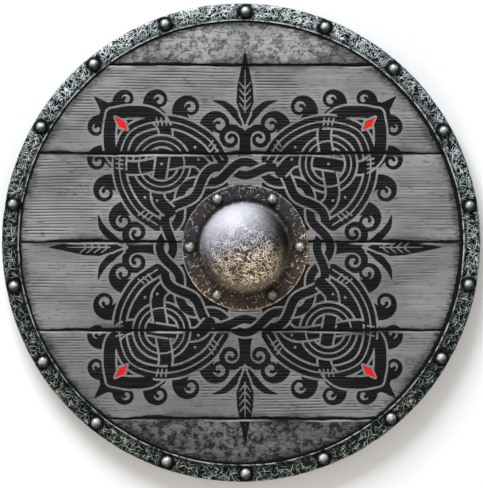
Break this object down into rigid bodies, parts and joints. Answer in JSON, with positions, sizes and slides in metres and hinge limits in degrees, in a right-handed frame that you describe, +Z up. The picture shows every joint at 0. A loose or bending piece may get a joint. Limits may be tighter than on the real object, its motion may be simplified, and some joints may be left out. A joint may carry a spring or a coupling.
{
  "type": "wooden round shield",
  "caption": "Round wooden shield of edge-joined planks in a riveted, folded steel rim, with a domed steel boss over a hand hole and a grip batten behind.",
  "frame": {"origin": "under the middle of the round, on the surface that the battens lie on", "axes": "+Z up through the boss, out of the painted face; +X along the planks; +Y across them, up the painted face"},
  "size_m": [0.61, 0.61, 0.0824],
  "materials": {
    "plank_wood": "grey-stained softwood with combed grain, painted with a worn black knotwork ornament",
    "batten_wood": "oiled brown ash, worn at the grip",
    "rim_steel": "dark patinated steel with bright scratches",
    "boss_steel": "worn steel, bright on the dome, dark and brown in the patina",
    "rivet_steel": "bright worn steel buttons",
    "nail_iron": "dull dark iron"
  },
  "bodies": {
    "root": {"plank_1": "plank_wood", "plank_2": "plank_wood", "plank_3": "plank_wood", "plank_4": "plank_wood", "plank_5": "plank_wood", "plank_6": "plank_wood", "rim": "rim_steel", "rim_rivet_01": "rivet_steel", "rim_rivet_02": "rivet_steel", "rim_rivet_03": "rivet_steel", "rim_rivet_04": "rivet_steel", "rim_rivet_05": "rivet_steel", "rim_rivet_06": "rivet_steel", "rim_rivet_07": "rivet_steel", "rim_rivet_08": "rivet_steel", "rim_rivet_09": "rivet_steel", "rim_rivet_10": "rivet_steel", "rim_rivet_11": "rivet_steel", "rim_rivet_12": "rivet_steel", "rim_rivet_13": "rivet_steel", "rim_rivet_14": "rivet_steel", "rim_rivet_15": "rivet_steel", "rim_rivet_16": "rivet_steel", "rim_rivet_17": "rivet_steel", "rim_rivet_18": "rivet_steel", "boss": "boss_steel", "boss_rivet_01": "rivet_steel", "boss_rivet_02": "rivet_steel", "boss_rivet_03": "rivet_steel", "boss_rivet_04": "rivet_steel", "boss_rivet_05": "rivet_steel", "boss_rivet_06": "rivet_steel", "grip_batten": "batten_wood", "left_batten": "batten_wood", "right_batten": "batten_wood", "grip_batten_nail_1": "nail_iron", "grip_batten_nail_2": "nail_iron", "grip_batten_nail_3": "nail_iron", "grip_batten_nail_4": "nail_iron", "grip_batten_nail_5": "nail_iron", "grip_batten_nail_6": "nail_iron", "left_batten_nail_1": "nail_iron", "left_batten_nail_2": "nail_iron", "left_batten_nail_3": "nail_iron", "left_batten_nail_4": "nail_iron", "right_batten_nail_1": "nail_iron", "right_batten_nail_2": "nail_iron", "right_batten_nail_3": "nail_iron", "right_batten_nail_4": "nail_iron"}
  },
  "joints": []
}
